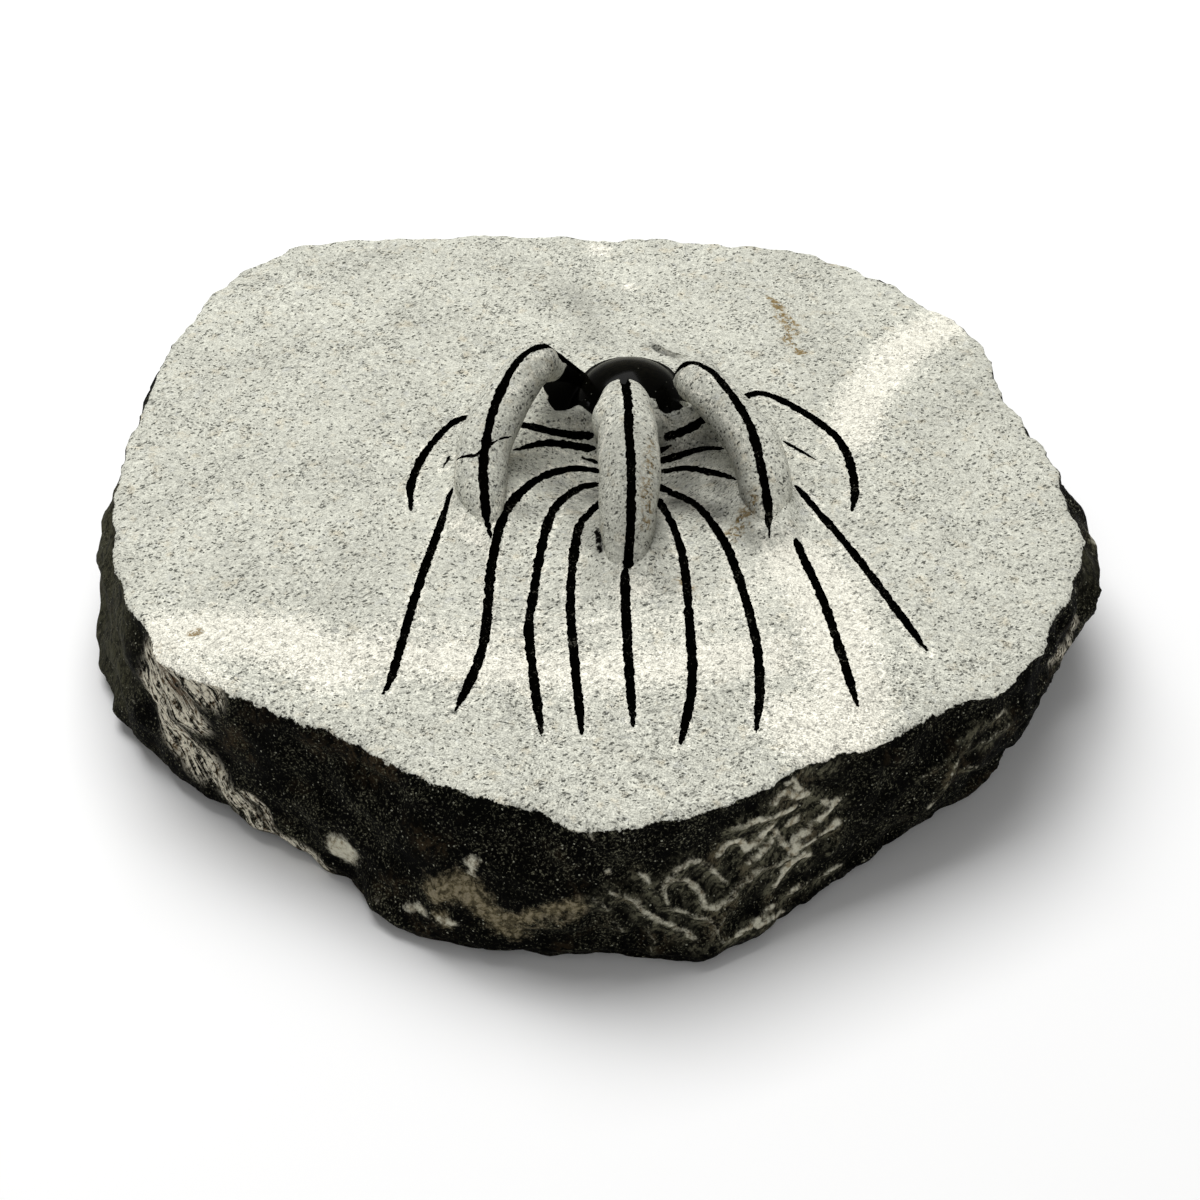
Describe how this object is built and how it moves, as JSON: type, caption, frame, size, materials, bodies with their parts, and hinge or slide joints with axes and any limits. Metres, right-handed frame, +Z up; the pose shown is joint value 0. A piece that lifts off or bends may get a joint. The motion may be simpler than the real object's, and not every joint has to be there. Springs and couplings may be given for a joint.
{
  "type": "carved stone sculpture",
  "caption": "Carved stone slab with broken sides: grooved claws arch over a hollow to a polished ball, and grooves run out of the hollow across the tooled top.",
  "frame": {"origin": "middle of the bounding box at the flat underside", "axes": "+X to the stone's right, -Y to its front, where the grooves run out, +Z up out of the tooled top"},
  "size_m": [0.5067, 0.4862, 0.137],
  "materials": {
    "stone": "tooled matt grey stone, broken dark flanks"
  },
  "bodies": {
    "root": {"carved_stone": "stone"}
  },
  "joints": []
}
